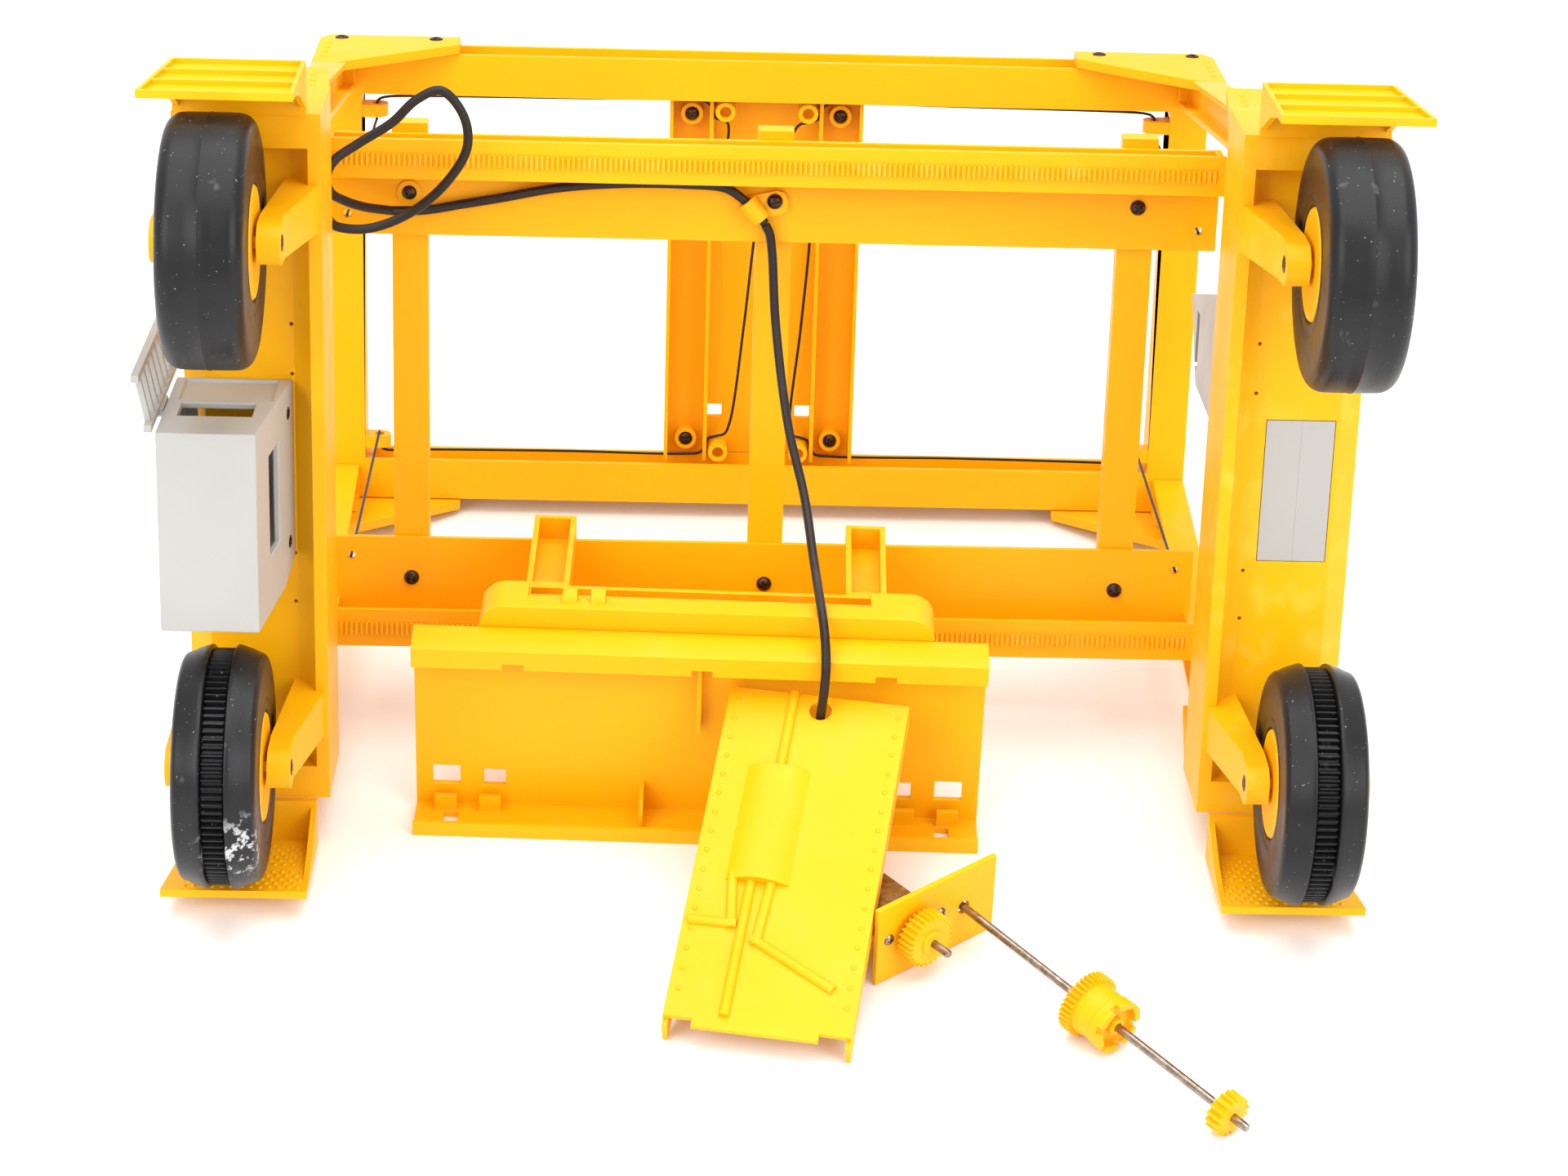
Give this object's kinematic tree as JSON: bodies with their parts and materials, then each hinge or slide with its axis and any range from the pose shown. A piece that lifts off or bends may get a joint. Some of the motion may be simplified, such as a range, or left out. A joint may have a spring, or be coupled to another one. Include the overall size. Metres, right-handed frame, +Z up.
{
  "type": "robot chassis",
  "caption": "Four-wheel toy gantry chassis standing on its end fenders, with a sliding rack frame, hoist cords, cabinets and a cabled loose tray, cover and geared drive on the floor",
  "frame": {"origin": "middle of the footprint of everything but the cords, on the floor", "axes": "+X right as seen from the wheel side, +Y from the wheels to the far frame, +Z up"},
  "size_m": [0.4258, 0.4486, 0.2901],
  "materials": {
    "yellow_plastic": "moulded yellow ABS, semi-gloss, lightly scuffed",
    "grey_plastic": "pale grey moulded plastic",
    "tyre_rubber": "black rubber with dust and pale scuffs",
    "screw_steel": "black zinc screws",
    "bright_steel": "bright steel can and rod",
    "cable_sheath": "dark brown-black cord"
  },
  "bodies": {
    "chassis": {"sill_right": "yellow_plastic", "sill_left": "yellow_plastic", "fender_upper_left": "yellow_plastic", "fender_upper_right": "yellow_plastic", "fender_lower_left": "yellow_plastic", "fender_lower_right": "yellow_plastic", "leg_upper_left": "yellow_plastic", "leg_upper_right": "yellow_plastic", "leg_lower_left": "yellow_plastic", "leg_lower_right": "yellow_plastic", "far_frame": "yellow_plastic", "hoist_channel": "yellow_plastic", "gusset_upper_left": "yellow_plastic", "gusset_upper_right": "yellow_plastic", "gusset_lower_left": "yellow_plastic", "gusset_lower_right": "yellow_plastic", "control_cabinet": "grey_plastic", "access_ladder": "grey_plastic", "driver_cab": "grey_plastic", "sill_panel": "grey_plastic", "cable_gland": "yellow_plastic", "trolley_tray": "yellow_plastic", "trolley_carriage": "yellow_plastic", "trolley_arm_frame": "yellow_plastic", "tank_cover": "yellow_plastic", "motor_plate": "yellow_plastic", "gear_motor": "bright_steel", "cable_loop": "cable_sheath", "cable_drop": "cable_sheath", "hoist_cord_upper_left": "cable_sheath", "hoist_cord_upper_right": "cable_sheath", "hoist_cord_lower_left": "cable_sheath", "hoist_cord_lower_right": "cable_sheath"},
    "lift_frame": {"lift_beam_upper": "yellow_plastic", "lift_beam_lower": "yellow_plastic", "lift_tie_left": "yellow_plastic", "lift_tie_middle": "yellow_plastic", "lift_tie_right": "yellow_plastic", "cable_clip": "yellow_plastic", "cable_run": "cable_sheath", "tie_screw_upper_left": "screw_steel", "tie_screw_upper_middle": "screw_steel", "tie_screw_upper_right": "screw_steel", "tie_screw_lower_left": "screw_steel", "tie_screw_lower_middle": "screw_steel", "tie_screw_lower_right": "screw_steel"},
    "wheel_upper_left": {"tyre_upper_left": "tyre_rubber", "hub_upper_left": "yellow_plastic"},
    "wheel_upper_right": {"tyre_upper_right": "tyre_rubber", "hub_upper_right": "yellow_plastic"},
    "wheel_lower_left": {"tyre_lower_left": "tyre_rubber", "hub_lower_left": "yellow_plastic", "drive_ring_lower_left": "tyre_rubber"},
    "wheel_lower_right": {"tyre_lower_right": "tyre_rubber", "hub_lower_right": "yellow_plastic", "drive_ring_lower_right": "tyre_rubber"},
    "output_gear": {"motor_gear": "yellow_plastic"},
    "axle_set": {"drive_axle": "bright_steel", "compound_gear": "yellow_plastic", "end_pinion": "yellow_plastic"}
  },
  "joints": [
    {"name": "roll_upper_left", "type": "hinge", "parent": "chassis", "child": "wheel_upper_left", "pos_m": [-0.18515, -0.06333, 0.24103], "axis": [1, 0, 0], "continuous": true},
    {"name": "roll_upper_right", "type": "hinge", "parent": "chassis", "child": "wheel_upper_right", "pos_m": [0.18935, -0.06333, 0.24103], "axis": [1, 0, 0], "continuous": true},
    {"name": "roll_lower_left", "type": "hinge", "parent": "chassis", "child": "wheel_lower_left", "pos_m": [-0.18515, -0.09853, 0.05778], "axis": [1, 0, 0], "continuous": true},
    {"name": "roll_lower_right", "type": "hinge", "parent": "chassis", "child": "wheel_lower_right", "pos_m": [0.18935, -0.09853, 0.05778], "axis": [1, 0, 0], "continuous": true},
    {"name": "lift_slide", "type": "slide", "parent": "chassis", "child": "lift_frame", "axis": [0, 0.982, -0.1887], "range_m": [0, 0.1]},
    {"name": "output_gear_spin", "type": "hinge", "parent": "chassis", "child": "output_gear", "pos_m": [0.05285, -0.13042, 0.0163], "axis": [0.6303, -0.7764, 0], "continuous": true},
    {"name": "axle_spin", "type": "hinge", "parent": "chassis", "child": "axle_set", "pos_m": [0.07063, -0.11599, 0.0157], "axis": [0.6291, -0.7749, -0.0614], "continuous": true}
  ]
}
